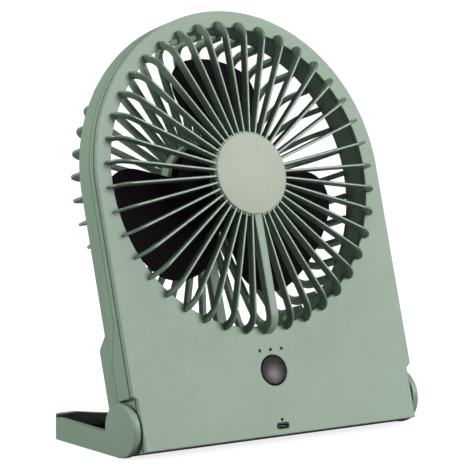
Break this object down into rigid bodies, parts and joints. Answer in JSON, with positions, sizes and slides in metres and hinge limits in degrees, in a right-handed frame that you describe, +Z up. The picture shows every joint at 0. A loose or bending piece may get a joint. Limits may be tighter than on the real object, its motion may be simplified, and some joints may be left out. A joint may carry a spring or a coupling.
{
  "type": "portable fan",
  "caption": "Arched rechargeable camping fan with domed radial grilles, a battery box behind and a U-shaped foot that the head tilts on.",
  "frame": {"origin": "middle of the bounding box at floor level, with the head leaning back at its rest angle", "axes": "+Z up, -Y the side the air blows out of, +X to the right seen from the front"},
  "size_m": [0.174, 0.0984, 0.2111],
  "materials": {
    "body_plastic": "matte sage green moulding",
    "cap_plastic": "matte pale green",
    "dark_plastic": "dark satin",
    "strip_rubber": "dull black",
    "steel": "plated",
    "laminated_steel": "bare stampings",
    "magnet": "sintered, grey",
    "bronze": "sintered bronze",
    "washer_plastic": "natural",
    "board": "green solder mask",
    "lamp": "clear lens",
    "clear_plastic": "frosted light guide",
    "cell_wrap": "shrink sleeve",
    "lead_cover": "insulated lead"
  },
  "bodies": {
    "stand": {"foot_frame": "body_plastic", "hinge_pins": "steel", "friction_washers": "washer_plastic", "rear_strip": "strip_rubber"},
    "head": {"front_panel": "body_plastic", "front_housing": "body_plastic", "rear_housing": "body_plastic", "rear_grille": "body_plastic", "hub_cap": "cap_plastic", "tact_switch": "dark_plastic", "motor_end_cap": "dark_plastic", "board_connector": "dark_plastic", "motor_can": "steel", "motor_screws": "steel", "housing_screws": "steel", "grille_screws": "steel", "board_screws": "steel", "usb_socket": "steel", "cell_tabs": "steel", "motor_magnets": "magnet", "motor_bushings": "bronze", "main_board": "board", "indicator_lamps": "lamp", "light_pipes": "clear_plastic", "battery_cells": "cell_wrap", "motor_leads": "lead_cover"},
    "rotor": {"impeller": "dark_plastic", "motor_shaft": "steel", "motor_armature": "laminated_steel"},
    "button": {"power_button": "dark_plastic", "switch_plunger": "dark_plastic"}
  },
  "joints": [
    {"name": "head_tilt", "type": "hinge", "parent": "stand", "child": "head", "pos_m": [0, -0.03251, 0.0134], "axis": [-1, 0, 0], "range_deg": [-16.5, 44]},
    {"name": "rotor_spin", "type": "hinge", "parent": "head", "child": "rotor", "pos_m": [0, -0.01133, 0.12976], "axis": [0, -0.957, 0.2902], "continuous": true},
    {"name": "button_press", "type": "slide", "parent": "head", "child": "button", "axis": [0, 0.957, -0.2902], "range_m": [0, 0.0005], "stiffness_N_per_m": 2500}
  ]
}
